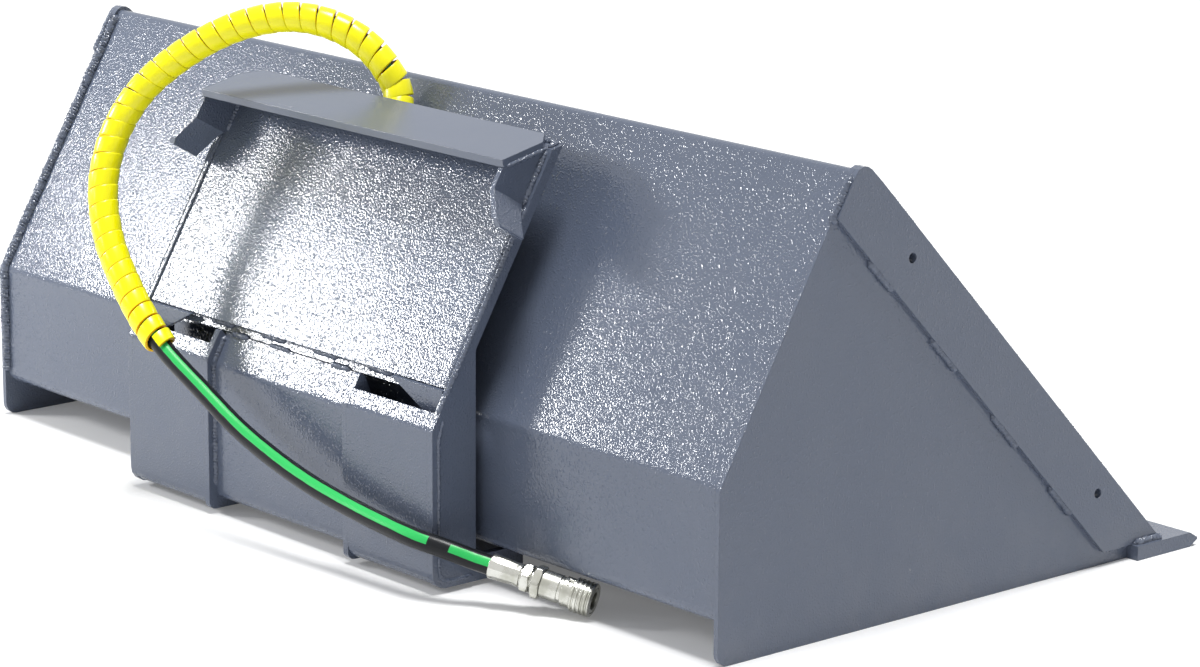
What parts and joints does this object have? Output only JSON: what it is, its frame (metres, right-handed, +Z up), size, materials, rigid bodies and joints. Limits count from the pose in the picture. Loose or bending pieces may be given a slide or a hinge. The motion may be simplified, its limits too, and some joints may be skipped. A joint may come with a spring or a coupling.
{
  "type": "self-dumping bucket",
  "caption": "Quick-attach loader bucket that tips forward on two pins under its floor, with a sloping coupler plate, a hydraulic latch and a guarded hose.",
  "frame": {"origin": "middle of the footprint at ground level, without the hose", "axes": "+X to the bucket's right seen from the machine, along its width; +Y forward, from the coupler plate to the cutting edge; +Z up"},
  "size_m": [1.23, 0.765, 0.5189],
  "materials": {
    "paint": "glossy slate grey powder coat with orange peel",
    "steel": "bare machined steel",
    "chrome": "hard chromed rod",
    "bronze": "plain bearing bronze",
    "zinc": "zinc plated, silver",
    "hose_rubber": "satin black cover with one bright green stripe",
    "guard_plastic": "glossy yellow wound strip"
  },
  "bodies": {
    "frame": {"coupler_plate": "paint", "hook_lip": "paint", "ear_left": "paint", "ear_right": "paint", "frame_side_left": "paint", "frame_side_right": "paint", "backing_strip": "paint", "cover_left": "paint", "cover_middle": "paint", "cover_right": "paint", "rib_left": "paint", "rib_right": "paint", "gusset_left": "paint", "gusset_right": "paint", "arm_left": "paint", "arm_right": "paint", "pivot_bush_left": "bronze", "pivot_bush_right": "bronze", "bolt_guides": "paint", "cylinder_saddle": "paint", "latch_cylinder": "paint", "return_spring": "steel", "hose_adapter": "zinc", "inlet_ferrule": "zinc", "hose": "hose_rubber", "spiral_guard": "guard_plastic", "outlet_ferrule": "zinc", "coupler_body": "zinc"},
    "bucket": {"shell": "paint", "side_plate_left": "paint", "side_plate_right": "paint", "cheek_left": "paint", "cheek_right": "paint", "cutting_edge": "paint", "pivot_lugs_left": "paint", "pivot_lugs_right": "paint", "pivot_pin_left": "steel", "pivot_pin_right": "steel", "split_pins": "steel", "striker_lug": "paint"},
    "latch": {"latch_bolt": "steel", "piston_rod": "chrome"},
    "sleeve": {"coupler_sleeve": "zinc"}
  },
  "joints": [
    {"name": "bucket_tilt", "type": "hinge", "parent": "frame", "child": "bucket", "pos_m": [0, 0.041, 0.021], "axis": [-1, 0, 0], "range_deg": [0, 60]},
    {"name": "latch_slide", "type": "slide", "parent": "frame", "child": "latch", "axis": [1, 0, 0], "range_m": [0, 0.042]},
    {"name": "sleeve_slide", "type": "slide", "parent": "frame", "child": "sleeve", "axis": [-0.8536, -0.4732, 0.218], "range_m": [0, 0.003], "stiffness_N_per_m": 1500, "springref_m": -0.004}
  ]
}
